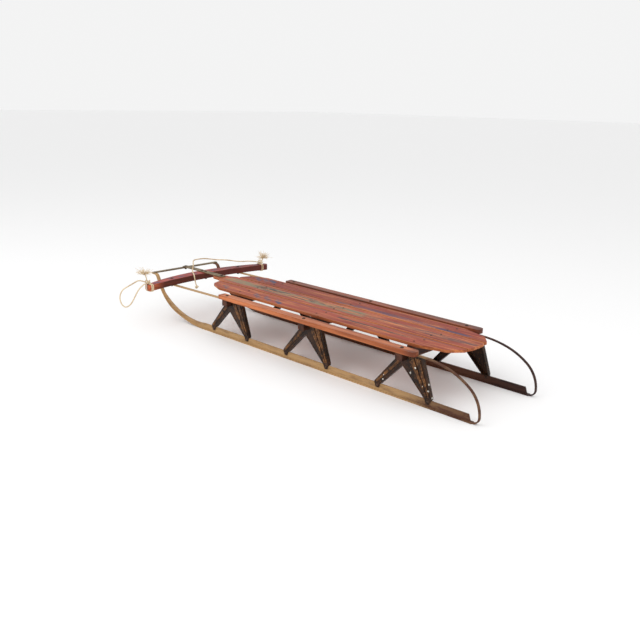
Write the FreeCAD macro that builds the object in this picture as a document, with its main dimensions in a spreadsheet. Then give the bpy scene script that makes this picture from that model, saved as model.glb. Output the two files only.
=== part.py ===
"""Steerable runner sled: a slatted wooden deck on steel runners, steered by a bar at its nose.

Millimetres. +X points forward, +Y to the rider's left, +Z up. The origin is on the ground under
the middle of the sled's box.
"""
import FreeCAD
import Part
import math
import os
import Sketcher

os.makedirs("parts", exist_ok=True)
doc = FreeCAD.newDocument("runner_sled")
Vector = FreeCAD.Vector

SIZES = {
    # overall
    "half_length": 768, "half_track": 150, "bench_top": 147,
    # runner: a flat foot with a standing web, bent up at both ends
    "foot_width": 14, "foot_thick": 4, "web_thick": 4, "web_top": 24, "web_setback": 28,
    "loop_width": 8, "loop_reach": 210, "loop_tail": 38, "loop_flat": 340, "loop_mid": 218, "loop_end": 22,
    "loop_flat_turn": 16, "loop_mid_turn": 20.5,
    "bow_long": 541, "bow_long_turn": 20, "bow_short": 190, "bow_short_turn": 40,
    "bow_web": 17, "tip_bend": 14, "tip_tab": 16,
    # side rails
    "front_reach": 449, "rail_lap": 2, "rail_width": 32, "rail_height": 14, "rail_front_round": 5,
    "rail_rear_round": 13,
    # benches across the sled, with a knee under each end
    "bench_depth": 26, "bench_height": 22, "bench_step": 9, "bench_inset": 3, "bench_front": 33,
    "bench_rear": 55, "middle_shift": 6,
    "knee_reach": 104, "knee_foot": 22, "knee_apex": 80, "knee_nose": 24, "knee_back": 66,
    "knee_plate": 2.5, "knee_depth": 10, "knee_rim": 2.5, "knee_lap": 13, "knee_rib": 2,
    # deck slats
    "slat_thick": 8.5, "slat_gap": 5, "middle_width": 84, "side_width": 73,
    "side_front": 298, "deck_rear": 118, "slat_round": 22, "nose_round": 14,
    # steering bar and its irons
    "bar_setback": 130, "bar_sweep": 47, "bar_half_span": 293, "bar_middle": 50, "bar_tip": 28,
    "bar_thick": 22, "strap_lift": 0.4, "strap_width": 26, "strap_thick": 3,
    "pivot_setback": 243, "strap_tail": 15, "strap_round": 8,
    "bumper_half_span": 160, "bumper_width": 16, "bumper_thick": 4,
    "strip_width": 14, "strip_thick": 3, "strip_gap": 2, "strip_tab": 46, "strip_bend": 150,
    # fasteners
    "screw": 2, "screw_head": 3.8, "screw_cap": 1.2, "screw_spread": 16,
    "bolt": 3, "bolt_head": 6.5, "bolt_cap": 2.4, "nut": 5, "nut_thick": 4.5,
    "rivet": 2.5, "rivet_head": 4.5, "rivet_cap": 2,
    "hole_gap": 0.2, "pivot_gap": 0.05, "head_gap": 0.4,
    # pull cord
    "cord": 5, "knot": 10, "tuft": 17, "tuft_height": 34, "stem_height": 26,
}

sheet = doc.addObject("Spreadsheet::Sheet", "size")
for row, (alias, number) in enumerate(SIZES.items(), start=1):
    sheet.set(f"A{row}", alias)
    sheet.set(f"B{row}", str(number))
    sheet.setAlias(f"B{row}", alias)
doc.recompute()

nodes = []


def value(expression):
    """A size expression as a number."""
    return float(sheet.evalExpression(str(expression).replace("size.", "")))


def node(item, label):
    """Give a finished sub-part the name of its file."""
    item.Label = label
    nodes.append(item)
    return item


# Places that several sub-parts share.
RAIL_FRONT = "(size.half_length - size.front_reach)"
RAIL_REAR = "(size.loop_reach - size.half_length)"
RAIL_INNER = "(size.half_track - size.rail_lap)"
RAIL_MIDDLE = "(size.half_track - size.rail_lap + size.rail_width / 2)"
RAIL_OUTER = "(size.half_track - size.rail_lap + size.rail_width)"
BENCH_BOTTOM = "(size.bench_top - size.bench_height)"
KNEE_X = {
    "front": f"({RAIL_FRONT} - size.bench_front)",
    "middle": (f"(({RAIL_FRONT} - size.bench_front + {RAIL_REAR} + size.bench_rear) / 2"
               " + size.middle_shift)"),
    "rear": f"({RAIL_REAR} + size.bench_rear)",
}
DECK_BASE = "(size.bench_top + size.bench_step)"
DECK_TOP = f"({DECK_BASE} + size.slat_thick)"
STRAP_Z = f"({DECK_TOP} + size.strap_lift)"
PIVOT_X = "(size.half_length - size.pivot_setback)"
BAR_X = "(size.half_length - size.bar_setback)"
BUMPER_X = "(size.half_length - size.bumper_width / 2)"
SIDE_SLAT_Y = "(size.middle_width / 2 + size.slat_gap + size.side_width / 2)"
SIDES = {"left": 1, "right": -1}


# --- drawing helpers -------------------------------------------------------------------------

def draw(body, name, rings, height):
    """A sketch on the body's XY plane. A ring of (x, y) pairs is a polygon, (x, y, r) a hole."""
    plane = next(item for item in body.Origin.OriginFeatures if item.Role == "XY_Plane")
    sketch = body.newObject("Sketcher::SketchObject", name)
    sketch.AttachmentSupport = [(plane, "")]
    sketch.MapMode = "FlatFace"
    sketch.setExpression("AttachmentOffset.Base.z", height)

    def bind(kind, geometry, point, expression):
        place = [geometry] if point is None else [geometry, point]
        index = sketch.addConstraint(Sketcher.Constraint(kind, *place, value(expression)))
        sketch.setExpression(f"Constraints[{index}]", expression)

    for ring in rings:
        first = sketch.GeometryCount
        if isinstance(ring, tuple):
            x, y, radius = ring
            centre = Vector(value(x), value(y), 0)
            sketch.addGeometry(Part.Circle(centre, Vector(0, 0, 1), value(radius)), False)
            bind("DistanceX", first, 3, x)
            bind("DistanceY", first, 3, y)
            bind("Radius", first, None, radius)
            continue
        corners = [Vector(value(x), value(y), 0) for x, y in ring]
        for here, there in zip(corners, corners[1:] + corners[:1]):
            sketch.addGeometry(Part.LineSegment(here, there), False)
        for number, (x, y) in enumerate(ring):
            before = first + (number - 1) % len(ring)
            sketch.addConstraint(Sketcher.Constraint("Coincident", before, 2, first + number, 1))
            bind("DistanceX", first + number, 1, x)
            bind("DistanceY", first + number, 1, y)
    return sketch


def board(label, rings, base, thickness, rounds=(), step=None):
    """A flat board cut to an outline; rounds holds (radius, corners to round with it).

    step is a second tier on top of the first: its rings, base and thickness.
    """
    body = doc.addObject("PartDesign::Body", label)
    tiers = [(rings, base, thickness)] + ([step] if step else [])
    for number, (tier, height, depth) in enumerate(tiers):
        sketch = draw(body, f"{label}_outline{number}", tier, height)
        pad = body.newObject("PartDesign::Pad", f"{label}_pad{number}")
        pad.Profile = sketch
        pad.setExpression("Length", depth)
        doc.recompute()
    for number, (radius, corners) in enumerate(rounds):
        wanted = [(value(x), value(y)) for x, y in corners]
        base_feature = body.Tip
        edges = [f"Edge{index}" for index, edge in enumerate(base_feature.Shape.Edges, start=1)
                 if any(all(math.hypot(point.X - x, point.Y - y) < 0.01 for point in edge.Vertexes)
                        for x, y in wanted)]
        fillet = body.newObject("PartDesign::Fillet", f"{label}_round{number}")
        fillet.Base = (base_feature, edges)
        fillet.setExpression("Radius", radius)
        body.Tip = fillet
        doc.recompute()
    return node(body, label)


def path_edges(start, moves, offset, place):
    """Edges that keep to the left of a path of runs and bends by an offset.

    start is (u, v, heading in degrees). A move is ("run", length) or ("bend", radius, turn), and
    a positive turn is to the left. Returns the edges and their two end points.
    """
    u, v, heading = start
    heading = math.radians(heading)

    def beside(pu, pv, angle):
        return place(pu - offset * math.sin(angle), pv + offset * math.cos(angle))

    edges = []
    first = last = beside(u, v, heading)
    for kind, size, *turn in moves:
        if kind == "run":
            u += size * math.cos(heading)
            v += size * math.sin(heading)
            here = beside(u, v, heading)
            edges.append(Part.LineSegment(last, here).toShape())
        else:
            angle = math.radians(turn[0])
            way = math.copysign(1, angle)
            centre_u = u - way * size * math.sin(heading)
            centre_v = v + way * size * math.cos(heading)
            points = []
            for share in (0.5, 1):
                facing = heading + share * angle
                pu = centre_u + way * size * math.sin(facing)
                pv = centre_v - way * size * math.cos(facing)
                points.append(beside(pu, pv, facing))
            u, v, heading = pu, pv, facing
            here = points[1]
            edges.append(Part.Arc(last, points[0], here).toShape())
        last = here
    return edges, first, last


def strip_face(start, moves, thickness, place):
    """The edge-on face of a strip bent along a path, with its outer side on the path."""
    outer, outer_first, outer_last = path_edges(start, moves, 0, place)
    inner, inner_first, inner_last = path_edges(start, moves, thickness, place)
    ends = [Part.LineSegment(outer_first, inner_first).toShape(),
            Part.LineSegment(outer_last, inner_last).toShape()]
    return Part.Face(Part.Wire(Part.__sortEdges__(outer + inner + ends)))


def extrude(name, face, direction, length):
    """A solid drawn out of a flat face by a length from the sheet."""
    profile = doc.addObject("Part::Feature", name + "_profile")
    profile.Shape = face
    solid = doc.addObject("Part::Extrusion", name)
    solid.Base = profile
    solid.DirMode = "Custom"
    solid.Dir = direction
    solid.Solid = True
    solid.setExpression("LengthFwd", length)
    return solid


def join(name, *items):
    fused = doc.addObject("Part::MultiFuse", name)
    fused.Shapes = list(items)
    fused.Refine = True
    return fused


def drill(name, base, holes):
    """Cut round holes, each (centre of one end, direction with its length, radius)."""
    tool = doc.addObject("Part::Feature", name + "_drills")
    tool.Shape = Part.makeCompound([Part.makeCylinder(radius, along.Length, at, along)
                                    for at, along, radius in holes])
    cut = doc.addObject("Part::Cut", name)
    cut.Base = base
    cut.Tool = tool
    return cut


def fastener(at, along, shank, head, cap, nut=0, nut_thick=0, closed=False):
    """A shank that grips the length of along, under a domed head, with a nut or second head."""
    way = Vector(along).normalize()
    grip = along.Length
    pieces = [Part.makeCylinder(shank, grip + nut_thick * 1.3, at, way),
              Part.makeCone(head, head * 0.5, cap, at, way * -1)]
    if nut:
        turned = FreeCAD.Rotation(Vector(0, 0, 1), way)
        ring = [at + way * grip + turned.multVec(Vector(nut * math.cos(math.radians(60 * side)),
                                                        nut * math.sin(math.radians(60 * side)), 0))
                for side in range(7)]
        pieces.append(Part.Face(Part.makePolygon(ring)).extrude(way * nut_thick))
    if closed:
        pieces.append(Part.makeCone(head, head * 0.5, cap, at + way * grip, way))
    return pieces[0].multiFuse(pieces[1:]).removeSplitter()


def fasteners(label, solids):
    """Identical fasteners share one node as a group of separate solids."""
    group = doc.addObject("Part::Feature", label)
    group.Shape = Part.makeCompound(solids)
    return node(group, label)


def side_view(y):
    return lambda u, v: Vector(u, y, v)


# --- deck ------------------------------------------------------------------------------------

def screw_places(slat_y, bench_x):
    """Two screws on a diagonal where a slat crosses a bench."""
    return [(f"({bench_x} + {way} * size.bench_depth / 4)", f"({slat_y} + {way} * size.screw_spread)")
            for way in (-1, 1)]


def make_slats():
    hole = "(size.screw + size.hole_gap)"
    deck_rear = "(size.deck_rear - size.half_length)"
    for label, side in (("deck_slat_left", 1), ("deck_slat_right", -1)):
        middle = f"({side} * {SIDE_SLAT_Y})"
        inner = f"({middle} - {side} * size.side_width / 2)"
        outer = f"({middle} + {side} * size.side_width / 2)"
        front = "(size.half_length - size.side_front)"
        shoulder = (f"({front} - size.side_width * 1.1)", outer)
        brow = (f"({front} - size.side_width / 5)", f"({middle} + {side} * size.side_width / 8)")
        nose = (front, f"({inner} + {side} * size.side_width / 6)")
        hip = (f"({deck_rear} + size.side_width * 1.7)", outer)
        haunch = (f"({deck_rear} + size.side_width / 2)", f"({middle} + {side} * size.side_width / 7)")
        heel = (f"({deck_rear} + size.slat_gap)", f"({inner} + {side} * size.side_width / 8)")
        outline = [(f"({deck_rear} + size.slat_gap)", inner), heel, haunch, hip, shoulder, brow, nose,
                   (front, inner)]
        holes = [(x, y, hole) for bench_x in KNEE_X.values() for x, y in screw_places(middle, bench_x)]
        board(label, [outline] + holes, DECK_BASE, "size.slat_thick",
              [("size.slat_round", [shoulder, brow, haunch, hip]), ("size.nose_round / 2", [nose, heel])])

    half = "(size.middle_width / 2)"
    tip = f"({PIVOT_X} + size.strap_tail + size.slat_round)"
    edges = []
    for side in (1, -1):
        points = [(deck_rear, f"({side} * {half} * 0.6)"),
                  (f"({deck_rear} + size.slat_gap)", f"({side} * {half})"),
                  (f"({tip} - size.middle_width)", f"({side} * {half})"),
                  (f"({tip} - size.middle_width * 0.62)", f"({side} * {half} * 0.62)"),
                  (f"({tip} - size.middle_width * 0.2)", f"({side} * {half} * 0.56)"),
                  (tip, f"({side} * {half} * 0.3)")]
        edges.append(points)
    left, right = edges
    holes = [(x, y, hole) for bench_x in KNEE_X.values() for x, y in screw_places("0", bench_x)]
    holes.append((PIVOT_X, "0", "(size.bolt + size.hole_gap)"))
    rounds = [("size.slat_round", [left[2], right[2], left[3], right[3]]),
              ("size.nose_round / 2", [left[4], right[4], left[5], right[5]])]
    board("deck_slat_middle", [left + right[::-1]] + holes, DECK_BASE, "size.slat_thick", rounds)


def make_rails():
    hole = "(size.bolt + size.hole_gap)"
    screw_hole = "(size.screw + size.hole_gap)"
    for name, side in SIDES.items():
        inner, outer = f"({side} * {RAIL_INNER})", f"({side} * {RAIL_OUTER})"
        front = [(RAIL_FRONT, outer), (RAIL_FRONT, inner)]
        rear = [(RAIL_REAR, inner), (RAIL_REAR, outer)]
        holes = [(x, f"({side} * {RAIL_MIDDLE})", hole) for x in KNEE_X.values()]
        holes.append((STRIP_SCREW_X, f"({side} * {RAIL_MIDDLE})", screw_hole))
        board(f"side_rail_{name}", [front + rear] + holes, "size.bench_top", "size.rail_height",
              [("size.rail_front_round", front), ("size.rail_rear_round", rear)])


def make_benches():
    screw_hole = "(size.screw + size.hole_gap)"
    slat_edge = f"({SIDE_SLAT_Y} + size.side_width / 2 + size.bench_inset)"
    for name, x in KNEE_X.items():
        ends = [f"({side} * ({RAIL_OUTER} - size.bench_inset))" for side in (1, -1)]
        back, front = f"({x} - size.bench_depth / 2)", f"({x} + size.bench_depth / 2)"
        outline = [(back, ends[0]), (back, ends[1]), (front, ends[1]), (front, ends[0])]
        crest = [f"({side} * {slat_edge})" for side in (1, -1)]
        raised = [(back, crest[0]), (back, crest[1]), (front, crest[1]), (front, crest[0])]
        holes = []
        for side in (1, -1):
            holes.append((x, f"({side} * {RAIL_MIDDLE})", "(size.bolt + size.hole_gap)"))
            holes.append((x, f"({side} * {KNEE_SCREW_Y})", screw_hole))
        slat_holes = [(*at, screw_hole) for slat_y in ("0", SIDE_SLAT_Y, f"(-1 * {SIDE_SLAT_Y})")
                      for at in screw_places(slat_y, x)]
        board(f"{name}_bench", [outline] + holes + slat_holes, BENCH_BOTTOM, "size.bench_height",
              step=([raised] + slat_holes, "size.bench_top", "size.bench_step"))


# --- knees -----------------------------------------------------------------------------------

KNEE_SCREW_Y = "(size.half_track - size.knee_depth / 3)"
STRIP_TAIL = "(size.bench_front - size.bench_depth / 2 - size.strip_gap)"
STRIP_SCREW_X = f"({RAIL_FRONT} - {STRIP_TAIL} / 2)"


def loop_underside(x):
    """The height of the rear loop's inner face, which drops away behind its flat end."""
    _, back = loop_moves()
    past = max(0.0, back - value("half_length") - x)
    return value("bench_top - loop_flat") + math.sqrt(value("loop_flat - foot_thick") ** 2 - past ** 2)


def knee_outline(x, foot_z, top):
    """The side view of a knee: a slim front leg and a broad rear one under a notched head."""
    reach, foot, web = value("knee_reach"), value("knee_foot"), value("web_top")
    bench = value(BENCH_BOTTOM)
    back = value("bench_depth") / 2
    heel = min(top, loop_underside(x - value("knee_back")))
    toe = (web - foot_z) * 0.45
    return [(x + value("knee_nose"), bench), (x + reach, web + 6), (x + reach, web),
            (x + reach - toe, foot_z), (x + reach - foot + toe, foot_z), (x + reach - foot, web),
            (x + 2, web + value("knee_apex")),
            (x - reach + foot, web), (x - reach + foot - toe, foot_z), (x - reach + toe, foot_z),
            (x - reach, web), (x - reach, web + 8), (x - value("knee_back"), heel), (x - back, top),
            (x - back, bench)]


def knee_ribs(x):
    """Long raised ridges pressed into the legs, one in front and two behind."""
    reach, foot, web = value("knee_reach"), value("knee_foot"), value("web_top")
    bench, top = value(BENCH_BOTTOM), value("bench_top")
    back, rear = value("bench_depth") / 2, value("knee_back")
    middle = (back + rear) / 2
    return [
        [(x + 6, bench - 8), (x + 16, bench - 6), (x + reach - foot / 4, web + 8),
         (x + reach - foot / 2, web + 5)],
        [(x - back - 5, top - 12), (x - middle + 3, top - 10), (x - reach + foot * 0.6, web + 8),
         (x - reach + foot * 0.8, web + 8)],
        [(x - middle - 3, top - 10), (x - rear + 6, top - 10), (x - reach + foot * 0.2, web + 9),
         (x - reach + foot * 0.45, web + 8)],
    ]


def make_knees():
    screw = value("screw + hole_gap")
    rivet = value("rivet + hole_gap")
    for name, x_place in KNEE_X.items():
        x = value(x_place)
        head = value("bench_top - foot_thick") if name == "rear" else value("bench_top")
        for hand, side in SIDES.items():
            label = f"{name}_knee_{hand}"
            seat = side * value("half_track + web_thick / 2")
            face = side * value("half_track + web_thick / 2 + knee_plate")

            def flat(points, y):
                ring = [Vector(u, y, v) for u, v in points]
                return Part.Face(Part.makePolygon(ring + ring[:1]))

            plate = extrude(label + "_plate", flat(knee_outline(x, value("web_top - knee_lap"), head), seat),
                            Vector(0, side, 0), "size.knee_plate")
            cheek = flat(knee_outline(x, value("web_top"), head), seat).removeSplitter()
            rim = cheek.cut(cheek.makeOffset2D(-value("knee_rim"), 2))
            flange = extrude(label + "_rim", rim, Vector(0, -side, 0), "size.knee_depth")
            ridges = Part.makeCompound([flat(rib, face) for rib in knee_ribs(x)])
            ribs = extrude(label + "_ribs", ridges, Vector(0, side, 0), "size.knee_rib")
            solid = join(label + "_solid", plate, flange, ribs)
            up = Vector(0, 0, value("knee_rim") * 3)
            screw_at = Vector(x, side * value(KNEE_SCREW_Y), value(BENCH_BOTTOM)) - up / 2
            across = Vector(0, side * value("knee_plate") * 4, 0)
            holes = [(screw_at, up, screw)]
            holes += [(Vector(u, seat, value(RIVET_Z)) - across / 2, across, rivet)
                      for u in rivet_places(x)]
            node(drill(label, solid, holes), label)


RIVET_Z = "(size.web_top - size.knee_lap / 2)"


def rivet_places(x):
    """One rivet in each foot of a knee."""
    inset = value("knee_reach - knee_foot / 2")
    return [x - inset, x + inset]


# --- runners ---------------------------------------------------------------------------------

TIP_Z = f"({STRAP_Z} - size.bumper_thick - size.foot_thick)"


def loop_moves():
    """From the rail's underside, back and down round the rear loop to the ground."""
    turns = [value("loop_flat_turn"), value("loop_mid_turn")]
    radii = [value("loop_flat"), value("loop_mid")]
    heading = math.radians(180)
    drop = back = 0.0
    moves = []
    for radius, turn in zip(radii, turns):
        ahead = heading + math.radians(turn)
        drop += radius * (math.cos(ahead) - math.cos(heading))
        back += radius * (math.sin(heading) - math.sin(ahead))
        moves.append(("bend", radius, turn))
        heading = ahead
    tight = (value("bench_top - loop_end") - drop) / -math.cos(heading)
    back += tight * (1 + math.sin(heading))
    moves.append(("bend", tight, 90 - sum(turns)))
    moves.append(("bend", value("loop_end"), 90))
    return moves, back


def bow_moves():
    """From the end of the straight foot, up the bow to the flat tab under the bumper."""
    first, second = value("bow_long_turn"), value("bow_short_turn")
    steep = math.radians(first + second)
    lean = math.radians(first)
    long_bend, short_bend, tip = value("bow_long"), value("bow_short"), value("tip_bend")
    rise = (long_bend * (1 - math.cos(lean)) + short_bend * (math.cos(lean) - math.cos(steep))
            + tip * (1 - math.cos(steep)))
    climb = (value(TIP_Z) - rise) / math.sin(steep)
    ahead = (long_bend * math.sin(lean) + short_bend * (math.sin(steep) - math.sin(lean))
             + climb * math.cos(steep) + tip * math.sin(steep) + value("tip_tab"))
    moves = [("bend", long_bend, first), ("bend", short_bend, second), ("run", climb),
             ("bend", tip, -(first + second)), ("run", value("tip_tab"))]
    return moves, ahead


def make_runners():
    loop, back = loop_moves()
    bow, ahead = bow_moves()
    rear, front = -value("half_length"), value("half_length")
    thick, top = value("foot_thick"), value("bench_top")
    bow_start = front - ahead
    tail_front = value(RAIL_REAR) + value("loop_tail")
    foot_start = rear + value("loop_end")
    loop = [("run", tail_front - (rear + back))] + loop + [("run", thick * 4)]
    foot = [("run", bow_start - foot_start)] + bow
    web_rear = rear + value("web_setback")
    web_top = value("web_top")
    lap = thick / 2
    for hand, side in SIDES.items():
        label = f"runner_{hand}"
        middle = side * value("half_track")
        sole = extrude(label + "_foot", strip_face((foot_start, 0, 0), foot, thick,
                                                   side_view(middle - value("foot_width") / 2)),
                       Vector(0, 1, 0), "size.foot_width")
        hoop = extrude(label + "_loop", strip_face((tail_front, top, 180), loop, thick,
                                                   side_view(middle - value("loop_width") / 2)),
                       Vector(0, 1, 0), "size.loop_width")
        view = side_view(side * value("half_track") - value("web_thick") / 2)
        root, _, root_end = path_edges((web_rear, 0, 0), [("run", bow_start - web_rear)] + bow[:2],
                                       lap, view)
        crown = path_edges((bow_start, 0, 0), bow[:1], value("bow_web"), view)[2]
        corners = [view(web_rear, lap), view(web_rear + web_top / 3, web_top), view(bow_start, web_top)]
        edges = root + [Part.LineSegment(corners[0], corners[1]).toShape(),
                        Part.LineSegment(corners[1], corners[2]).toShape(),
                        Part.Arc(corners[2], crown, root_end).toShape()]
        web_face = Part.Face(Part.Wire(Part.__sortEdges__(edges)))
        web = extrude(label + "_web", web_face, Vector(0, 1, 0), "size.web_thick")
        solid = join(label + "_solid", sole, hoop, web)
        across = Vector(0, value("web_thick") * 3, 0)
        down = Vector(0, 0, thick * 3)
        holes = [(Vector(u, side * value("half_track"), value(RIVET_Z)) - across / 2, across,
                  value("rivet + hole_gap")) for x in KNEE_X.values() for u in rivet_places(value(x))]
        holes.append((Vector(value(BUMPER_X), side * value("half_track"), value(TIP_Z)) - down / 2, down,
                      value("screw + hole_gap")))
        node(drill(label, solid, holes), label)


# --- steering --------------------------------------------------------------------------------

def bar_middle_x(y):
    """The middle line of the swept steering bar."""
    return value(BAR_X) - value("bar_sweep") * (y / value("bar_half_span")) ** 2


def make_steering_bar():
    span, low = value("bar_half_span"), value(STRAP_Z) - value("bar_thick")
    middle, tip = value("bar_middle") / 2, value("bar_tip") / 2
    end_x = bar_middle_x(span)
    ends = span - tip

    def at(x, y):
        return Vector(x, y, low)

    edges = [Part.Arc(at(end_x + tip, ends), at(value(BAR_X) + middle, 0), at(end_x + tip, -ends)),
             Part.Arc(at(end_x + tip, -ends), at(end_x, -span), at(end_x - tip, -ends)),
             Part.Arc(at(end_x - tip, -ends), at(value(BAR_X) - middle, 0), at(end_x - tip, ends)),
             Part.Arc(at(end_x - tip, ends), at(end_x, span), at(end_x + tip, ends))]
    plan = Part.Face(Part.Wire(Part.__sortEdges__([edge.toShape() for edge in edges])))
    blank = extrude("steering_bar_blank", plan, Vector(0, 0, 1), "size.bar_thick")
    down = Vector(0, 0, value("bar_thick"))
    holes = [(at(x, y), down, value("bolt + hole_gap")) for x, y in strip_bolt_places() + bar_bolt_places()]
    node(drill("steering_bar", blank, holes), "steering_bar")


def strip_y():
    return value(RAIL_MIDDLE)


def strip_bolt_places():
    """Where the side strips bolt up under the bar."""
    return [(bar_middle_x(strip_y()), side * strip_y()) for side in (1, -1)]


def bar_bolt_places():
    """Two bolts tie the strap to the bar."""
    return [(value(BAR_X) + way * value("bar_middle") / 4, 0) for way in (-1, 1)]


def make_strap():
    half = "(size.strap_width / 2)"
    rear, front = f"({PIVOT_X} - size.strap_tail)", "(size.half_length)"
    corners = [(rear, f"(-1 * {half})"), (front, f"(-1 * {half})"), (front, half), (rear, half)]
    holes = [(PIVOT_X, "0", "(size.bolt + size.pivot_gap)"), (BUMPER_X, "0", "(size.bolt + size.hole_gap)")]
    holes += [(f"({BAR_X} + {way} * size.bar_middle / 4)", "0", "(size.bolt + size.hole_gap)")
              for way in (-1, 1)]
    board("pivot_strap", [corners] + holes, STRAP_Z, "size.strap_thick", [("size.strap_round", corners)])


def make_bumper():
    half = "size.bumper_half_span"
    rear = "(size.half_length - size.bumper_width)"
    corners = [(rear, f"(-1 * {half})"), ("size.half_length", f"(-1 * {half})"), ("size.half_length", half),
               (rear, half)]
    holes = [(BUMPER_X, f"({side} * size.half_track)", "(size.screw + size.hole_gap)") for side in (1, -1)]
    holes.append((BUMPER_X, "0", "(size.bolt + size.hole_gap)"))
    board("front_bumper", [corners] + holes, f"({STRAP_Z} - size.bumper_thick)", "size.bumper_thick",
          [("size.bumper_thick", corners)])


def make_strips():
    """Thin straps from under the rails' front ends to the underside of the bar."""
    top, thick = value("bench_top"), value("strip_thick")
    bar_low = value(STRAP_Z) - value("bar_thick")
    rear = value(RAIL_FRONT) - value(STRIP_TAIL)
    tab_end = bar_middle_x(strip_y()) + value("strip_tab") / 2
    tail, tab, bend = value(STRIP_TAIL), value("strip_tab"), value("strip_bend")
    fall = top - bar_low
    level = tab_end - rear - tail - tab
    slope = 2 * math.atan(fall / level)
    for _ in range(20):
        straight = (level - 2 * bend * math.sin(slope)) / math.cos(slope)
        slope = math.asin((fall - 2 * bend * (1 - math.cos(slope))) / straight)
    turn = math.degrees(slope)
    moves = [("run", tail), ("bend", bend, -turn), ("run", straight), ("bend", bend, turn), ("run", tab)]
    bolt_x = strip_bolt_places()[0][0]
    for hand, side in SIDES.items():
        label = f"side_strip_{hand}"
        view = side_view(side * strip_y() - value("strip_width") / 2)
        strip = extrude(label + "_blank", strip_face((rear, top - thick, 0), moves, thick, view),
                        Vector(0, 1, 0), "size.strip_width")
        down = Vector(0, 0, thick * 3)
        holes = [(Vector(value(STRIP_SCREW_X), side * strip_y(), top) - down * 0.6, down,
                  value("screw + hole_gap")),
                 (Vector(bolt_x, side * strip_y(), bar_low) - down * 0.6, down, value("bolt + hole_gap"))]
        node(drill(label, strip, holes), label)


# --- fasteners -------------------------------------------------------------------------------

def make_fasteners():
    screw, screw_head, screw_cap = value("screw"), value("screw_head"), value("screw_cap")
    bolt, bolt_head, bolt_cap = value("bolt"), value("bolt_head"), value("bolt_cap")
    nut, nut_thick = value("nut"), value("nut_thick")
    rivet, rivet_head, rivet_cap = value("rivet"), value("rivet_head"), value("rivet_cap")
    down, up = Vector(0, 0, -1), Vector(0, 0, 1)
    rail_y, low = value(RAIL_MIDDLE), value(BENCH_BOTTOM)
    rail_top = value("bench_top + rail_height")

    solids = []
    for slat_y in ("0", SIDE_SLAT_Y, f"(-1 * {SIDE_SLAT_Y})"):
        for bench_x in KNEE_X.values():
            for x, y in screw_places(slat_y, bench_x):
                solids.append(fastener(Vector(value(x), value(y), value(DECK_TOP)),
                                       down * value("slat_thick + bench_height * 0.8"), screw, screw_head,
                                       screw_cap))
    fasteners("deck_screws", solids)

    places = [(value(x), side) for x in KNEE_X.values() for side in (1, -1)]
    fasteners("rail_bolts", [fastener(Vector(x, side * rail_y, rail_top),
                                      down * value("rail_height + bench_height"), bolt, bolt_head,
                                      bolt_cap, nut, nut_thick) for x, side in places])
    fasteners("knee_screws", [fastener(Vector(x, side * value(KNEE_SCREW_Y), low - value("knee_rim")),
                                       up * value("knee_rim + bench_height * 0.8"), screw, screw_head,
                                       screw_cap) for x, side in places])
    grip = value("knee_plate + web_thick")
    fasteners("knee_rivets", [
        fastener(Vector(u, side * value("half_track + web_thick / 2 + knee_plate"), value(RIVET_Z)),
                 Vector(0, -side * grip, 0), rivet, rivet_head, rivet_cap, closed=True)
        for x, side in places for u in rivet_places(x)])
    fasteners("strip_screws", [
        fastener(Vector(value(STRIP_SCREW_X), side * rail_y, value("bench_top - strip_thick")),
                 up * value("strip_thick + rail_height * 0.7"), screw, screw_head, screw_cap)
        for side in (1, -1)])
    head_z = value(f"{STRAP_Z} + size.strap_thick + size.head_gap")
    pivot_grip = head_z - value(DECK_BASE)
    fasteners("pivot_bolt", [fastener(Vector(value(PIVOT_X), 0, head_z), down * pivot_grip, bolt,
                                      bolt_head, bolt_cap, nut, nut_thick)])

    strap_top = value(STRAP_Z) + value("strap_thick")
    bar_grip = value("bar_thick")
    fasteners("strap_bolts",
              [fastener(Vector(x, y, strap_top), down * (bar_grip + value("strap_thick")), bolt, bolt_head,
                        bolt_cap, nut, nut_thick) for x, y in bar_bolt_places()]
              + [fastener(Vector(value(BUMPER_X), 0, strap_top),
                          down * value("strap_thick + bumper_thick"), bolt, bolt_head, bolt_cap, nut,
                          nut_thick)])
    fasteners("strip_bolts", [fastener(Vector(x, y, value(STRAP_Z)),
                                       down * (bar_grip + value("strip_thick")), bolt, bolt_head, bolt_cap,
                                       nut, nut_thick) for x, y in strip_bolt_places()])
    fasteners("tip_rivets", [fastener(Vector(value(BUMPER_X), side * value("half_track"), value(STRAP_Z)),
                                      down * value("bumper_thick + foot_thick"), screw, screw_head,
                                      screw_cap, closed=True) for side in (1, -1)])


# --- pull cord -------------------------------------------------------------------------------

# The cord's two ends, each tied on an end of the bar. The points are chosen by hand.
NEAR_ROUTE = [(597, 302, 177), (600, 323, 187), (601, 345, 178), (602, 370, 169), (602, 394, 160),
              (601, 407, 138), (600, 404, 113), (599, 389, 93), (598, 368, 97), (597, 352, 117),
              (596, 339, 139), (595, 325, 158), (594, 304, 170)]
FAR_ROUTE = [(603, -262, 174), (620, -232, 181), (650, -196, 177), (690, -162, 183), (733, -133, 181),
             (768, -104, 185), (781, -72, 183), (765, -42, 185), (732, -18, 179), (697, 8, 177),
             (665, 36, 172), (633, 58, 172), (605, 72, 169), (594, 76, 146), (599, 68, 128)]


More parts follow.
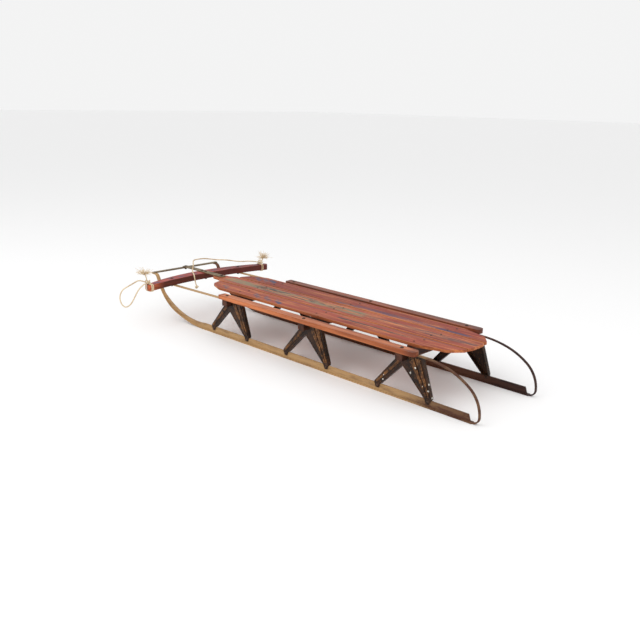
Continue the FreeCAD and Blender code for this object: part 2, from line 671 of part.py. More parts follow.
def cord_tube(label, route):
    """A round cord along straight runs joined by arcs as large as the runs allow."""
    points = [Vector(*point) for point in route]
    last = points[0]
    edges, radii = [], []
    for before, here, after in zip(points, points[1:], points[2:]):
        into, out = here - before, after - here
        turn = into.getAngle(out)
        setback = 0.45 * min(into.Length, out.Length)
        radii.append(setback / math.tan(turn / 2))
        start = here - into.normalize() * setback
        end = here + out.normalize() * setback
        inward = (start + end) / 2 - here
        middle = here + inward.normalize() * (radii[-1] / math.cos(turn / 2) - radii[-1])
        edges.append(Part.LineSegment(last, start).toShape())
        edges.append(Part.Arc(start, middle, end).toShape())
        last = end
    edges.append(Part.LineSegment(last, points[-1]).toShape())
    path = Part.Wire(edges)
    ring = Part.Wire(Part.makeCircle(value("cord") / 2, points[0], points[1] - points[0]))
    tube = path.makePipeShell([ring], True, False)
    expected = math.pi * (value("cord") / 2) ** 2 * path.Length
    print(label, "length %.0f" % path.Length, "volume ratio %.3f" % (tube.Volume / expected),
          "radii", [round(radius) for radius in radii])
    cord = doc.addObject("Part::Feature", label)
    cord.Shape = tube
    node(cord, label)


def ball(label, x, y, z, radius):
    item = doc.addObject("Part::Sphere", label)
    item.setExpression("Radius", radius)
    for axis, place in zip("xyz", (x, y, z)):
        item.setExpression("Placement.Base." + axis, place)
    return node(item, label)


def make_cords():
    cord_tube("pull_cord_near", NEAR_ROUTE)
    cord_tube("pull_cord_far", FAR_ROUTE)
    end_x = f"({BAR_X} - size.bar_sweep)"
    top = f"({STRAP_Z} + size.knot)"
    ball("knot_near", f"({end_x} + size.hole_gap)", "(size.bar_half_span - size.bar_tip / 3)", top,
         "size.knot")
    ball("knot_far", f"({end_x} + size.knot / 2)", "(size.bar_tip - size.bar_half_span)", top, "size.knot")
    ball("knot_end", "599", "65", "120", "size.knot * 0.7")
    for hand, y, x in (("near", "(size.bar_half_span + size.bar_tip / 2)", end_x),
                       ("far", "(size.bar_tip / 2 - size.bar_half_span)", end_x)):
        tuft = doc.addObject("Part::Cone", f"tassel_{hand}")
        tuft.setExpression("Radius1", "size.cord / 2")
        tuft.setExpression("Radius2", "size.tuft")
        tuft.setExpression("Height", "size.tuft_height + size.stem_height")
        tuft.setExpression("Placement.Base.x", x)
        tuft.setExpression("Placement.Base.y", y)
        tuft.setExpression("Placement.Base.z", f"({top} + size.knot * 0.6)")
        node(tuft, f"tassel_{hand}")


make_slats()
make_rails()
make_benches()
make_knees()
make_runners()
make_steering_bar()
make_strap()
make_bumper()
make_strips()
make_fasteners()
make_cords()
doc.recompute()

for item in doc.Objects:
    if "Invalid" in item.State or "Error" in item.State:
        raise RuntimeError(f"{item.Label} failed: {item.State}")
for item in nodes:
    if item.Shape.isNull() or not item.Shape.isValid() or not item.Shape.Solids:
        raise RuntimeError(f"{item.Label} has no valid solid")
for item in nodes:
    item.Shape.exportStep(f"parts/{item.Label}.step")
print(len(nodes), "sub-parts")
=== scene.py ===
"""Looks for the steerable runner sled: worn painted wood, enamelled knees, steel runners, cords."""
import math
import random

import bmesh
import bpy
from mathutils import Euler, Matrix, Vector


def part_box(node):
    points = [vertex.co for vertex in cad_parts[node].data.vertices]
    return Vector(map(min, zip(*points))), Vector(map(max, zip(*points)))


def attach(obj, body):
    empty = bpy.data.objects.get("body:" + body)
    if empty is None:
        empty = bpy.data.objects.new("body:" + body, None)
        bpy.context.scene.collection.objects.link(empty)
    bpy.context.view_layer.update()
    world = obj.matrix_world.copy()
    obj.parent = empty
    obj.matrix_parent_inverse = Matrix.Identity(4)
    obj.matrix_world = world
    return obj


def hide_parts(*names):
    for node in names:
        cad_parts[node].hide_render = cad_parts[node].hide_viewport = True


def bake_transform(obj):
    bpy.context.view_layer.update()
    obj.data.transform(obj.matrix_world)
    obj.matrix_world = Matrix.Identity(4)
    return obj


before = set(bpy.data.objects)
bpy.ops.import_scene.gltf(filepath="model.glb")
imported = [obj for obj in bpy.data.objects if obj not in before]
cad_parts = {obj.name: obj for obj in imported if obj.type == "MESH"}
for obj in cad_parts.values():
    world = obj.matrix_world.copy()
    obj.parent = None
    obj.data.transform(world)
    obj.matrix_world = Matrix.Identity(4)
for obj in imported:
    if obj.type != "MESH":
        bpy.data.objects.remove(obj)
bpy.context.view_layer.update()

# --- camera ----------------------------------------------------------------------------------

CAMERA_PLACE = (-1.765, 1.804, 0.833)
CAMERA_YAW = -0.801
CAMERA_PITCH = -0.282
CAMERA_ROLL = 0.021
CAMERA_LENS = 42.6


def make_camera():
    data = bpy.data.cameras.new("camera")
    data.lens = CAMERA_LENS
    data.sensor_width = 36
    camera = bpy.data.objects.new("camera", data)
    bpy.context.collection.objects.link(camera)
    ahead = Vector((math.cos(CAMERA_PITCH) * math.cos(CAMERA_YAW),
                    math.cos(CAMERA_PITCH) * math.sin(CAMERA_YAW), math.sin(CAMERA_PITCH)))
    right = ahead.cross(Vector((0, 0, 1))).normalized()
    up = right.cross(ahead)
    level = Matrix((right, up, -ahead)).transposed()
    camera.matrix_world = (Matrix.Translation(CAMERA_PLACE)
                           @ (level @ Matrix.Rotation(CAMERA_ROLL, 3, "Z")).to_4x4())
    bpy.context.scene.camera = camera


make_camera()


# --- material nodes --------------------------------------------------------------------------

class Graph:
    """Short calls for building one material's nodes."""

    def __init__(self, name):
        self.material = bpy.data.materials.new(name)
        self.material.use_nodes = True
        self.tree = self.material.node_tree
        self.shader = self.tree.nodes["Principled BSDF"]
        self.coordinates = self.node("TexCoord")
        self.place = self.coordinates.outputs["Object"]
        self.x, self.y, self.z = self.node("SeparateXYZ", {0: self.place}).outputs[:3]
        normal = self.coordinates.outputs["Normal"]
        self.facing = self.node("SeparateXYZ", {0: normal}).outputs

    def feed(self, socket, value):
        if isinstance(value, bpy.types.NodeSocket):
            self.tree.links.new(value, socket)
        else:
            socket.default_value = value

    def node(self, kind, inputs=None, **settings):
        made = self.tree.nodes.new("ShaderNode" + kind)
        for name, value in settings.items():
            setattr(made, name, value)
        for name, value in (inputs or {}).items():
            self.feed(made.inputs[name], value)
        return made

    def maths(self, operation, first, second=0.0):
        return self.node("Math", {0: first, 1: second}, operation=operation).outputs[0]

    def noise(self, stretch, detail=4.0, roughness=0.6, offset=0.0):
        """Noise with its own number of features per metre along each axis."""
        spread = self.node("Mapping", {0: self.place, "Scale": stretch,
                                       "Location": (offset, offset, offset)}).outputs[0]
        return self.node("TexNoise", {"Vector": spread, "Scale": 1.0, "Detail": detail,
                                      "Roughness": roughness}).outputs[0]

    def step(self, value, low, high):
        """0 below low, 1 above high, smooth between; falls instead where low is the larger."""
        ends = (0.0, 1.0) if low < high else (1.0, 0.0)
        return self.node("MapRange", {0: value, 1: min(low, high), 2: max(low, high), 3: ends[0],
                                      4: ends[1]}, interpolation_type="SMOOTHSTEP").outputs[0]

    def mix(self, share, first, second):
        made = self.node("Mix", {0: share, 6: first, 7: second}, data_type="RGBA")
        return made.outputs[2]

    def times(self, *values):
        product = values[0]
        for value in values[1:]:
            product = self.maths("MULTIPLY", product, value)
        return product

    def most(self, *values):
        top = values[0]
        for value in values[1:]:
            top = self.maths("MAXIMUM", top, value)
        return top

    def between(self, value, middle, half_width, soft=0.001):
        """1 where value is within half_width of middle."""
        away = self.maths("ABSOLUTE", self.maths("SUBTRACT", value, middle))
        return self.step(away, half_width + soft, half_width - soft)

    def finish(self, colour, roughness, bump=None, strength=0.3, distance=0.001):
        self.feed(self.shader.inputs["Base Color"], colour)
        self.feed(self.shader.inputs["Roughness"], roughness)
        self.shader.inputs["Specular IOR Level"].default_value = SPECULAR_LEVEL
        if bump is not None:
            made = self.node("Bump", {"Height": bump, "Strength": strength, "Distance": distance})
            self.feed(self.shader.inputs["Normal"], made.outputs[0])
        return self.material


def paint(red, green, blue):
    """An sRGB colour, 0 to 255, as the linear colour that shaders take."""
    return tuple((part / 255 / 12.92 if part < 11 else ((part / 255 + 0.055) / 1.055) ** 2.4)
                 for part in (red, green, blue)) + (1.0,)


SPECULAR_LEVEL = 0.2     # old surfaces mirror less than new ones
ORANGE_WOOD = paint(204, 124, 76)
BROWN_WOOD = paint(142, 74, 42)
DARK_WOOD = paint(84, 40, 28)
FADED_RED = paint(158, 72, 56)
DEEP_RED = paint(118, 44, 38)
OLIVE_GREY = paint(130, 120, 96)
PURPLE_GREY = paint(104, 72, 72)
BLUE_GREY = paint(62, 68, 96)
SMUDGE = paint(66, 62, 62)

BAR_SWEEP = 0.047        # how far the bar's ends stand behind its middle
DASH_INSET = 0.028       # from the bar's front to the middle of a painted dash
BAR_HALF_END = 0.0185    # half the loop of cord round an end of the bar, front to back
BAR_INSET = 0.025        # from the bar's front to the middle of that loop
RIB_HEIGHT = 0.002       # of the ribs pressed into a knee


def grain(g, light, dark, offset=0.0):
    """Bare wood: long streaks along X with fine fibres. Returns its colour and its height."""
    streak = g.noise((2.2, 70, 70), detail=6, roughness=0.62, offset=offset)
    fibre = g.noise((14, 620, 620), detail=3, roughness=0.7, offset=offset)
    colour = g.mix(g.step(streak, 0.36, 0.66), dark, light)
    colour = g.mix(g.times(g.step(fibre, 0.5, 0.75), 0.35), colour, dark)
    height = g.maths("ADD", g.times(streak, 0.6), g.times(fibre, 0.4))
    return colour, height


def dashes(g, places, length, width, slant):
    """Slanted brush dashes, one at each (x, y), as one mask."""
    masks = []
    for x, y in places:
        along = g.maths("SUBTRACT", g.x, x)
        across = g.maths("ADD", g.maths("SUBTRACT", g.y, y), g.times(along, slant))
        masks.append(g.times(g.between(along, 0.0, length / 2, 0.003),
                             g.between(across, 0.0, width / 2, 0.002)))
    return g.most(*masks)


def slat_material(name, node, base, stripes, marks=(), smudged=False, offset=0.0):
    """Faded paint on a deck slat, worn through to orange wood on its edges and along its grain.

    stripes holds (y, half width, colour, share, rear end, front end), with y from the slat's middle.
    """
    g = Graph(name)
    low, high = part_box(node)
    middle, half = (low[1] + high[1]) / 2, (high[1] - low[1]) / 2
    across = g.maths("SUBTRACT", g.y, middle)
    bare, height = grain(g, ORANGE_WOOD, BROWN_WOOD, offset)
    blotch = g.noise((4, 22, 22), detail=5, offset=offset + 3)
    faded = g.mix(g.step(blotch, 0.35, 0.7), base, DEEP_RED)
    scuff = g.noise((7, 120, 120), detail=6, roughness=0.7, offset=offset + 7)
    for place, half_width, colour, share, rear, front in stripes:
        reach = g.times(g.step(g.x, rear, rear + 0.03), g.step(g.x, front, front - 0.03))
        wander = g.times(g.maths("SUBTRACT", g.noise((3, 3, 3), offset=offset), 0.5), 0.004)
        line = g.between(g.maths("ADD", across, wander), place, half_width, 0.0015)
        faded = g.mix(g.times(line, reach, g.step(scuff, 0.25, 0.45), share), faded, colour)
    if smudged:
        dirt = g.noise((16, 60, 60), detail=6, roughness=0.72, offset=offset + 11)
        reach = g.times(g.step(g.x, -0.25, 0.0), g.step(g.x, 0.36, 0.28),
                        g.between(across, 0.0, 0.016, 0.006))
        faded = g.mix(g.times(reach, g.step(dirt, 0.43, 0.51)), faded, SMUDGE)
    if marks:
        faded = g.mix(g.times(dashes(g, marks, 0.05, 0.02, 0.5), 0.95), faded, BLUE_GREY)
    edge = g.step(g.maths("ABSOLUTE", across), half - 0.001, half - 0.007)
    top = g.step(g.facing[2], 0.6, 0.9)
    kept = g.step(scuff, 0.4, 0.53)
    colour = g.mix(g.times(top, edge, kept), bare, faded)
    grime = g.noise((9, 40, 40), detail=6, roughness=0.75, offset=offset + 19)
    colour = g.mix(g.times(g.step(grime, 0.56, 0.72), 0.45), colour, DARK_WOOD)
    rough = g.maths("ADD", g.times(scuff, 0.25), 0.42)
    return g.finish(colour, rough, height, 0.35, 0.0008)


def rail_material(name, light, dark, offset):
    """Old varnish, orange where it is thin and brown where dirt has gathered."""
    g = Graph(name)
    bare, height = grain(g, light, dark, offset)
    worn = g.noise((6, 46, 46), detail=6, roughness=0.7, offset=offset + 5)
    colour = g.mix(g.times(g.step(worn, 0.47, 0.62), 0.65), bare, dark)
    pale = g.noise((11, 150, 150), detail=5, roughness=0.7, offset=offset + 9)
    colour = g.mix(g.times(g.step(pale, 0.6, 0.7), 0.4), colour, paint(222, 160, 112))
    low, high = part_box("side_rail_left")
    ends = g.most(g.step(g.x, low[0] + 0.048, low[0] + 0.006),
                  g.times(g.step(g.x, high[0] - 0.019, high[0] - 0.001), 0.6))
    colour = g.mix(g.times(ends, 0.7), colour, DARK_WOOD)
    return g.finish(colour, g.maths("ADD", g.times(worn, 0.3), 0.28), height, 0.35, 0.0008)


def bench_material():
    g = Graph("bench_wood")
    streak = g.noise((60, 4, 60), detail=6, roughness=0.65)
    colour = g.mix(g.step(streak, 0.35, 0.65), paint(46, 26, 20), paint(92, 54, 38))
    return g.finish(colour, g.maths("ADD", g.times(streak, 0.25), 0.45), streak, 0.4, 0.0008)


def bar_material():
    """Red paint on top with a row of blue-grey dashes; bare orange wood at the near end, painted shade on
    the back face.
    """
    g = Graph("painted_bar")
    streak = g.noise((70, 2.5, 70), detail=6, roughness=0.62)
    bare = g.mix(g.step(streak, 0.35, 0.65), BROWN_WOOD, paint(196, 98, 62))
    worn = g.noise((60, 9, 60), detail=6, roughness=0.7, offset=4)
    red = g.mix(g.step(worn, 0.4, 0.62), paint(168, 60, 50), paint(122, 40, 34))
    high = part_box("steering_bar")[1]
    reach = high[1]
    masks = []
    for share in (0.17, 0.4, 0.57, 0.84):
        middle = high[0] - DASH_INSET - BAR_SWEEP * share ** 2
        for y in (share * reach, -share * reach):
            masks.append(g.times(g.between(g.x, middle, 0.006, 0.002), g.between(g.y, y, 0.014, 0.003)))
    red = g.mix(g.times(g.most(*masks), 0.85), red, BLUE_GREY)
    top = g.step(g.facing[2], 0.6, 0.9)
    colour = g.mix(g.times(top, g.step(worn, 0.3, 0.42)), bare, red)
    # Painted shade: the back face, which looks away from the light, is darkened except at the near end.
    behind = g.step(g.facing[0], -0.4, -0.8)
    shade = g.mix(g.step(worn, 0.35, 0.6), paint(92, 38, 30), paint(58, 26, 22))
    colour = g.mix(g.times(behind, g.step(g.y, reach, reach * 0.72), 0.9), colour, shade)
    far = g.step(g.y, -0.02, -0.12)
    colour = g.mix(g.times(far, 0.55), colour, paint(92, 36, 34))
    return g.finish(colour, g.maths("ADD", g.times(worn, 0.3), 0.3), streak, 0.35, 0.0008)


def knee_material(name, specks=False):
    """Dark enamel with rust flecks; the raised ribs and rims carry a painted highlight in rusty brown,
    partly wear.
    """
    g = Graph(name)
    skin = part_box("front_knee_left")[1][1] - RIB_HEIGHT
    # Painted highlight, partly wear: the tops of the raised ribs are lightened to rusty brown.
    rib_highlight_and_wear = g.step(g.maths("ABSOLUTE", g.y), skin + 0.0004, skin + 0.0014)
    cloud = g.noise((38, 38, 26), detail=7, roughness=0.7)
    fleck = g.noise((260, 260, 160), detail=4, roughness=0.7, offset=2)
    enamel = g.mix(g.step(cloud, 0.4, 0.65), paint(24, 14, 10), paint(58, 34, 20))
    # This rusty brown colours both the rust flecks and the painted highlight on the rib tops.
    rust = g.mix(g.step(fleck, 0.4, 0.65), paint(96, 58, 30), paint(158, 108, 60))
    share = g.maths("ADD", g.times(rib_highlight_and_wear, g.step(cloud, 0.36, 0.6), 0.75),
                    g.times(g.step(fleck, 0.55, 0.68), 0.45))
    colour = g.mix(share, enamel, rust)
    if specks:
        cells = g.node("TexVoronoi", {"Vector": g.place, "Scale": 46.0, "Randomness": 1.0})
        drops = g.step(cells.outputs["Distance"], 0.16, 0.12)
        chosen = g.step(g.noise((30, 30, 30), offset=8), 0.5, 0.54)
        colour = g.mix(g.times(drops, chosen), colour, paint(214, 210, 200))
    return g.finish(colour, g.maths("ADD", g.times(cloud, 0.35), 0.22), fleck, 0.3, 0.0006)


def runner_material(name, light, dark, rear):
    """Painted steel gone tan, with brown rust that thickens towards the rear loop, and painted shade on the
    faces that look down.
    """
    g = Graph(name)
    patch = g.noise((9, 60, 60), detail=7, roughness=0.7)
    fleck = g.noise((120, 300, 300), detail=4, roughness=0.7, offset=5)
    back = g.step(g.x, rear + 0.16, rear - 0.08)
    rusty = g.maths("ADD", g.times(g.step(patch, 0.46, 0.68), 0.55), g.times(back, 0.85))
    colour = g.mix(g.node("Clamp", {0: rusty}).outputs[0], light, dark)
    # Painted shade: faces that look down are darkened.
    downward_shade = g.step(g.facing[2], -0.2, -0.9)
    colour = g.mix(g.times(downward_shade, 0.6), colour, paint(70, 52, 40))
    colour = g.mix(g.times(g.step(fleck, 0.58, 0.7), 0.4), colour, paint(96, 62, 40))
    return g.finish(colour, g.maths("ADD", g.times(patch, 0.3), 0.33), fleck, 0.25, 0.0005)


def steel_material(name, light, dark, roughness, metallic=0.35):
    g = Graph(name)
    cloud = g.noise((40, 40, 40), detail=6, roughness=0.7)
    fleck = g.noise((330, 330, 330), detail=3, roughness=0.7, offset=6)
    colour = g.mix(g.step(cloud, 0.38, 0.64), light, dark)
    colour = g.mix(g.times(g.step(fleck, 0.6, 0.72), 0.5), colour, paint(120, 80, 52))
    g.shader.inputs["Metallic"].default_value = metallic
    return g.finish(colour, g.maths("ADD", g.times(cloud, 0.3), roughness), fleck, 0.3, 0.0005)


def cord_material():
    g = Graph("cotton_cord")
    fuzz = g.noise((420, 420, 420), detail=5, roughness=0.75)
    stain = g.noise((24, 24, 24), detail=3)
    colour = g.mix(g.step(stain, 0.4, 0.7), paint(232, 212, 178), paint(190, 160, 122))
    colour = g.mix(g.times(g.step(fuzz, 0.5, 0.72), 0.35), colour, paint(140, 108, 76))
    g.shader.inputs["Sheen Weight"].default_value = 0.3
    return g.finish(colour, 0.9, fuzz, 0.5, 0.0006)


def give(node, material):
    """Every slot of a CAD node takes a material."""
    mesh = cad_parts[node].data
    mesh.materials.clear()
    mesh.materials.append(material)


def soften(piece, width, segments=2):
    """Break the sharp edges of a piece and shade it smoothly."""
    for polygon in piece.data.polygons:
        polygon.use_smooth = True
    bevel = piece.modifiers.new("soft_edges", "BEVEL")
    bevel.width = width
    bevel.segments = segments
    bevel.limit_method = "ANGLE"
    bevel.angle_limit = math.radians(32)
    bevel.harden_normals = True
    bevel.use_clamp_overlap = True


def dress_wood():
    give("deck_slat_left", slat_material(
        "paint_left_slat", "deck_slat_left", FADED_RED,
        [(-0.003, 0.005, SMUDGE, 0.95, -0.48, -0.16), (-0.028, 0.002, BLUE_GREY, 0.5, -0.62, 0.1)],
        marks=[(0.385, 0.088), (0.205, 0.094), (0.15, 0.094), (0.095, 0.094)], offset=1))
    give("deck_slat_middle", slat_material(
        "paint_middle_slat", "deck_slat_middle", FADED_RED,
        [(0.0, 0.021, OLIVE_GREY, 0.95, -0.24, 0.5), (0.0, 0.013, PURPLE_GREY, 0.95, -0.66, -0.2)],
        smudged=True, offset=14))
    give("deck_slat_right", slat_material(
        "paint_right_slat", "deck_slat_right", paint(138, 54, 44),
        [(0.022, 0.006, BLUE_GREY, 0.95, -0.6, -0.02), (0.008, 0.003, BLUE_GREY, 0.8, -0.5, -0.1)],
        marks=[(0.40, -0.082), (0.365, -0.088), (0.33, -0.094)], offset=27))
    give("side_rail_left", rail_material("varnish_left_rail", paint(208, 124, 76), BROWN_WOOD, 2))
    give("side_rail_right", rail_material("varnish_right_rail", paint(160, 84, 52), paint(98, 50, 34), 9))
    bench = bench_material()
    for place in ("front", "middle", "rear"):
        give(f"{place}_bench", bench)
    give("steering_bar", bar_material())
    for name in ("deck_slat_left", "deck_slat_middle", "deck_slat_right"):
        soften(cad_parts[name], 0.0022, 3)
    for name in ("side_rail_left", "side_rail_right", "steering_bar"):
        soften(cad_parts[name], 0.0035, 3)
    for place in ("front", "middle", "rear"):
        soften(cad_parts[f"{place}_bench"], 0.002, 2)


def dress_metal():
    enamel, speckled = knee_material("enamel_knee"), knee_material("enamel_knee_specks", True)
    for place in ("front", "middle", "rear"):
        for hand in ("left", "right"):
            name = f"{place}_knee_{hand}"
            give(name, speckled if name == "rear_knee_left" else enamel)
            soften(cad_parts[name], 0.0009, 2)
    strap = steel_material("strap_steel", paint(132, 114, 84), paint(92, 76, 56), 0.35)
    for name in ("pivot_strap", "front_bumper"):
        give(name, strap)
        soften(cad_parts[name], 0.0007, 2)
    dark = steel_material("fastener_steel", paint(84, 66, 56), paint(44, 34, 30), 0.3, 0.6)
    for name in ("deck_screws", "rail_bolts", "knee_screws", "knee_rivets", "strip_screws", "pivot_bolt",
                 "strap_bolts", "strip_bolts", "tip_rivets"):
        give(name, dark)
        soften(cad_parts[name], 0.0008, 2)


# --- runners and side strips that flex with the bar ------------------------------------------

def flexing(node, material, start_x, slices):
    """A copy of a steel strip, cut into short lengths so that it bends smoothly to the bar."""
    low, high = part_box(node)
    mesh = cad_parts[node].data.copy()
    work = bmesh.new()
    work.from_mesh(mesh)
    bmesh.ops.remove_doubles(work, verts=work.verts, dist=1e-6)
    for number in range(1, slices):
        x = start_x + (high[0] - start_x) * number / slices
        everything = list(work.verts) + list(work.edges) + list(work.faces)
        bmesh.ops.bisect_plane(work, geom=everything, plane_co=(x, 0, 0), plane_no=(1, 0, 0), dist=1e-7)
    work.to_mesh(mesh)
    work.free()
    mesh.materials.clear()
    mesh.materials.append(material)
    piece = bpy.data.objects.new(node + "_steel", mesh)
    bpy.context.collection.objects.link(piece)
    soften(piece, 0.0008, 2)
    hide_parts(node)
    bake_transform(piece)
    return piece


def make_flexing_steel():
    knee_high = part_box("front_knee_left")[1]
    rail_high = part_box("side_rail_left")[1]
    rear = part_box("rear_knee_left")[0][0]
    tan = runner_material("runner_tan", paint(178, 142, 98), paint(82, 50, 36), rear)
    brown = runner_material("runner_brown", paint(104, 66, 46), paint(50, 30, 26), rear)
    for hand, material in (("left", tan), ("right", brown)):
        flexing(f"runner_{hand}", material, knee_high[0] + 0.01, 26)
        flexing(f"side_strip_{hand}", tan, rail_high[0] + 0.006, 18)


# --- pull cords ------------------------------------------------------------------------------

# The cord's routes in metres, the same points as the solids'.
NEAR_ROUTE = [(.597, .302, .177), (.600, .323, .187), (.601, .345, .178), (.602, .370, .169),
              (.602, .394, .160), (.601, .407, .138), (.600, .404, .113), (.599, .389, .093),
              (.598, .368, .097), (.597, .352, .117), (.596, .339, .139), (.595, .325, .158),
              (.594, .304, .170)]
FAR_ROUTE = [(.603, -.262, .174), (.620, -.232, .181), (.650, -.196, .177), (.690, -.162, .183),
             (.733, -.133, .181), (.768, -.104, .185), (.781, -.072, .183), (.765, -.042, .185),
             (.732, -.018, .179), (.697, .008, .177), (.665, .036, .172), (.633, .058, .172),
             (.605, .072, .169), (.594, .076, .146), (.599, .068, .128)]
CORD = 0.005
STRANDS = 3
STRAND_OFFSET = 0.17     # of the cord's diameter, from its middle to a strand's middle
STRAND_RADIUS = 0.33
LAY = 3.2                # diameters of cord to one turn of its strands
FUZZ_RADII = (0.00016, 0.00013, 0.00006)
TUFT_STEPS = 7           # lengths in one loose fibre of a frayed end
WRAP_STEPS = 48
WRAP_POWER = 0.45        # of the cosine and sine, for a loop between a circle and a square


def centreline(name, route):
    """Points along the smooth NURBS line of a route."""
    data = bpy.data.curves.new(name, "CURVE")
    data.dimensions = "3D"
    data.resolution_u = 14
    spline = data.splines.new("NURBS")
    spline.points.add(len(route) - 1)
    for point, place in zip(spline.points, route):
        point.co = (*place, 1.0)
    spline.order_u = 3
    spline.use_endpoint_u = True
    holder = bpy.data.objects.new(name, data)
    bpy.context.collection.objects.link(holder)
    bpy.context.view_layer.update()
    line = bpy.data.meshes.new_from_object(holder.evaluated_get(bpy.context.evaluated_depsgraph_get()))
    points = [vertex.co.copy() for vertex in line.vertices]
    bpy.data.objects.remove(holder)
    bpy.data.curves.remove(data)
    bpy.data.meshes.remove(line)
    return points


def even(points, spacing):
    """The same line with points a fixed distance apart."""
    result = [points[0]]
    carried = 0.0
    for here, there in zip(points, points[1:]):
        length = (there - here).length
        while carried + length >= spacing:
            share = (spacing - carried) / length
            here = here.lerp(there, share)
            length = (there - here).length
            result.append(here)
            carried = 0.0
        carried += length
    result.append(points[-1])
    return result


def frames_along(points, closed=False):
    """A sideways and an upright direction at each point, turning as little as they can."""
    count = len(points)
    side = None
    frames = []
    for number in range(count):
        before = points[(number - 1) % count] if closed else points[max(number - 1, 0)]
        after = points[(number + 1) % count] if closed else points[min(number + 1, count - 1)]
        ahead = (after - before).normalized()
        if side is None:
            side = ahead.orthogonal().normalized()
        side = (side - ahead * side.dot(ahead)).normalized()
        frames.append((side.copy(), ahead.cross(side)))
    return frames


def bridge(work, rings, closing=None):
    """Faces from each ring of vertices to the next, then to a closing ring or over both open ends."""
    pairs = list(zip(rings, rings[1:]))
    if closing:
        pairs.append((rings[-1], closing))
    for first, second in pairs:
        for number in range(len(first)):
            after = (number + 1) % len(first)
            work.faces.new((first[number], first[after], second[after], second[number]))
    if not closing:
        work.faces.new(rings[0][::-1])
        work.faces.new(rings[-1])


def add_tube(work, points, radii, sides):
    """A round tube through the points, with its own radius at each."""
    rings = []
    for point, (across, upright), radius in zip(points, frames_along(points), radii):
        ring = []
        for number in range(sides):
            angle = 2 * math.pi * number / sides
            way = across * math.cos(angle) + upright * math.sin(angle)
            ring.append(work.verts.new(point + way * radius))
        rings.append(ring)
    bridge(work, rings)


def strand_outline(angle):
    """How far the outline of laid strands stands from the middle, as a share of the diameter."""
    third = 2 * math.pi / STRANDS
    away = (angle + third / 2) % third - third / 2
    chord = STRAND_RADIUS ** 2 - (STRAND_OFFSET * math.sin(away)) ** 2
    return STRAND_OFFSET * math.cos(away) + math.sqrt(chord)


def add_rope(work, points, diameter, closed=False):
    """A cord of three strands laid round each other along a line."""
    spacing = diameter * 0.3
    line = even(points, spacing)
    if closed:
        line = line[:-1]
    turns = len(line) * spacing / (diameter * LAY)
    if closed:
        turns = round(turns)
    sides = 8 * STRANDS
    rings = []
    for number, (point, (across, upright)) in enumerate(zip(line, frames_along(line, closed))):
        twist = 2 * math.pi * turns * number / len(line)
        ring = []
        for side in range(sides):
            angle = 2 * math.pi * side / sides
            reach = strand_outline(angle) * diameter
            way = across * math.cos(angle + twist) + upright * math.sin(angle + twist)
            ring.append(work.verts.new(point + way * reach))
        rings.append(ring)
    closing = None
    if closed:
        first, last = rings[0], rings[-1]
        shift = min(range(sides), key=lambda step: (first[step].co - last[0].co).length)
        closing = first[shift:] + first[:shift]
    bridge(work, rings, closing)


def add_fuzz(work, points, diameter, count, rng):
    """Short loose fibres along an old cord."""
    for _ in range(count):
        number = rng.randrange(len(points))
        way = Vector((rng.uniform(-1, 1), rng.uniform(-1, 1), rng.uniform(-1, 1))).normalized()
        start = points[number] + way * diameter * 0.35
        bend = Vector((rng.uniform(-1, 1), rng.uniform(-1, 1), rng.uniform(-1, 1))) * diameter * 0.3
        end = start + way * diameter * rng.uniform(0.2, 0.4) + bend
        add_tube(work, [start, (start + end) / 2 + bend * 0.3, end], FUZZ_RADII, 3)


def mesh_piece(name, work, material):
    """Turn finished mesh work into a piece that rides on the steering body."""
    bmesh.ops.recalc_face_normals(work, faces=work.faces)
    mesh = bpy.data.meshes.new(name)
    work.to_mesh(mesh)
    work.free()
    mesh.materials.append(material)
    for polygon in mesh.polygons:
        polygon.use_smooth = True
    piece = bpy.data.objects.new(name, mesh)
    bpy.context.collection.objects.link(piece)
    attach(piece, "steering")
    return piece


def knot(name, node, centre, radius, turn, material):
    """An overhand knot drawn up tight: the line of a trefoil."""
    work = bmesh.new()
    spin = Euler(turn).to_matrix()
    steps = 90
    points = []
    for number in range(steps + 1):
        angle = 2 * math.pi * number / steps
        point = Vector((math.sin(angle) + 2 * math.sin(2 * angle), math.cos(angle) - 2 * math.cos(2 * angle),
                        -1.5 * math.sin(3 * angle)))
        points.append(centre + spin @ (point * (radius - CORD / 2) / 3))
    add_rope(work, points, CORD * 0.95, closed=True)
    piece = mesh_piece(name, work, material)
    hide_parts(node)
    return piece


def tassel(name, node, root, lean, stem, spread, count, seed, material):
    """A cord end that stands up from its knot and frays into a loose tuft."""
    rng = random.Random(seed)
    work = bmesh.new()
    stem_end = root + lean * stem
    bow = Vector((0.001, -0.003, 0))
    line = [root, root.lerp(stem_end, 0.35) + bow, root.lerp(stem_end, 0.7) + bow, stem_end]
    add_rope(work, line, CORD * 0.9)
    for _ in range(count):
        way = Vector((rng.gauss(0, 0.75), rng.gauss(0, 0.75), rng.uniform(0.1, 1.1))).normalized()
        length = spread * rng.uniform(0.6, 1.0)
        start = stem_end - lean * rng.uniform(0, 0.006)
        curl = Vector((rng.uniform(-1, 1), rng.uniform(-1, 1), rng.uniform(-1, 0.4))) * length * 0.35
        path = []
        for step in range(TUFT_STEPS + 1):
            share = step / TUFT_STEPS
            wave = math.sin(share * 7 + length * 900) * 0.0009
            path.append(start + way * length * share + curl * share ** 2 + Vector((wave, -wave, wave * 0.5)))
        thick = rng.uniform(0.00045, 0.0009)
        add_tube(work, path, [thick * (1 - 0.45 * step / TUFT_STEPS) for step in range(TUFT_STEPS + 1)], 5)
    piece = mesh_piece(name, work, material)
    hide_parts(node)
    return piece


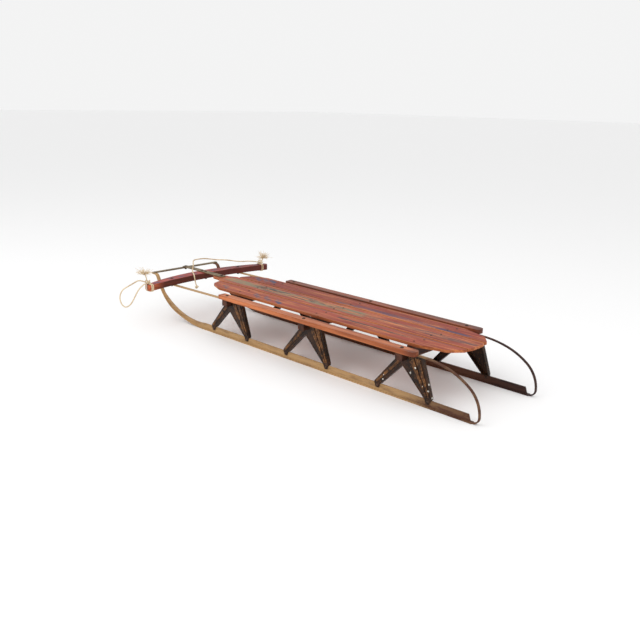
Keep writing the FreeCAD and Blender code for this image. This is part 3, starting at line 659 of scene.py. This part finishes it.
def bar_wrap(name, y, lean, material):
    """Two turns of cord round the end of the bar, that the knot closes."""
    low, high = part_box("steering_bar")
    reach = (high[1] - low[1]) / 2
    middle_x = high[0] - BAR_INSET - BAR_SWEEP * (y / reach) ** 2
    half_x, half_z = BAR_HALF_END, (high[2] - low[2]) / 2 + CORD / 2
    middle_z = (high[2] + low[2]) / 2
    work = bmesh.new()
    for shift in (-0.003, 0.003):
        points = []
        for number in range(WRAP_STEPS + 1):
            angle = 2 * math.pi * number / WRAP_STEPS
            ring_x = math.copysign(abs(math.cos(angle)) ** WRAP_POWER, math.cos(angle)) * half_x
            ring_z = math.copysign(abs(math.sin(angle)) ** WRAP_POWER, math.sin(angle)) * half_z
            points.append(Vector((middle_x + ring_x, y + shift + lean * ring_x, middle_z + ring_z)))
        add_rope(work, points, CORD * 0.9, closed=True)
    return mesh_piece(name, work, material)


def make_cord(name, node, route, seed, material):
    """One free pull cord of laid strands along its route."""
    line = centreline(name + "_line", route)
    points = even(line, CORD)
    work = bmesh.new()
    add_rope(work, line, CORD)
    piece = mesh_piece(name, work, material)
    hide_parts(node)
    work = bmesh.new()
    add_fuzz(work, points, CORD, 90, random.Random(seed))
    fuzz = mesh_piece(name + "_fuzz", work, material)
    return piece


def centre(node):
    low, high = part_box(node)
    return (Vector(low) + Vector(high)) / 2


def make_cords():
    material = cord_material()
    near_centre, far_centre, end_centre = centre("knot_near"), centre("knot_far"), centre("knot_end")
    near = knot("knot_near_cord", "knot_near", near_centre + Vector((0.002, 0.006, 0)), 0.0125,
                (0.5, 0.3, 0.2), material)
    far = knot("knot_far_cord", "knot_far", far_centre, 0.0125, (0.9, -0.4, 0.6), material)
    end = knot("knot_end_cord", "knot_end", end_centre, 0.0085, (0.2, 1.2, 0.0), material)
    near_tuft = tassel("tassel_near_cord", "tassel_near", near_centre + Vector((0, 0.012, 0.004)),
                       Vector((0.05, 0.3, 0.95)).normalized(), 0.032, 0.036, 90, 5, material)
    far_tuft = tassel("tassel_far_cord", "tassel_far", far_centre + Vector((0, -0.006, 0.004)),
                      Vector((0.0, -0.45, 0.9)).normalized(), 0.016, 0.034, 90, 9, material)
    near_wrap = bar_wrap("wrap_near_cord", near_centre.y, 0.1, material)
    far_wrap = bar_wrap("wrap_far_cord", far_centre.y, -0.12, material)
    make_cord("pull_cord_near_rope", "pull_cord_near", NEAR_ROUTE, 3,
              material)
    make_cord("pull_cord_far_rope", "pull_cord_far", FAR_ROUTE, 4, material)


# --- floor and light -------------------------------------------------------------------------

WORLD_STRENGTH = 0.9
KEY_POWER = 36
FILL_POWER = 16


def make_stage():
    """A white floor and a white room, lit softly from above and from the near side."""
    bpy.context.scene.view_settings.view_transform = "Standard"
    mesh = bpy.data.meshes.new("floor")
    size = 40.0
    corners = [(-size, -size, 0), (size, -size, 0), (size, size, 0), (-size, size, 0)]
    mesh.from_pydata(corners, [], [(0, 1, 2, 3)])
    floor = bpy.data.objects.new("floor", mesh)
    bpy.context.collection.objects.link(floor)
    material = bpy.data.materials.new("pale_floor")
    material.use_nodes = True
    shader = material.node_tree.nodes["Principled BSDF"]
    shader.inputs["Base Color"].default_value = (0.95, 0.95, 0.95, 1)
    shader.inputs["Roughness"].default_value = 0.7
    mesh.materials.append(material)

    world = bpy.data.worlds.new("studio")
    world.use_nodes = True
    world.node_tree.nodes["Background"].inputs[0].default_value = (1, 1, 1, 1)
    world.node_tree.nodes["Background"].inputs[1].default_value = WORLD_STRENGTH
    bpy.context.scene.world = world

    def area(name, place, aim, size, power):
        data = bpy.data.lights.new(name, "AREA")
        data.shape = "SQUARE"
        data.size = size
        data.energy = power
        light = bpy.data.objects.new(name, data)
        bpy.context.collection.objects.link(light)
        light.location = place
        light.rotation_euler = (Vector(aim) - Vector(place)).to_track_quat("-Z", "Y").to_euler()

    area("key", (0.6, 2.4, 3.0), (0, 0, 0), 2.6, KEY_POWER)
    area("fill", (-2.6, 0.6, 2.6), (0, 0, 0.1), 3.0, FILL_POWER)


dress_wood()
dress_metal()
make_flexing_steel()
make_cords()
make_stage()
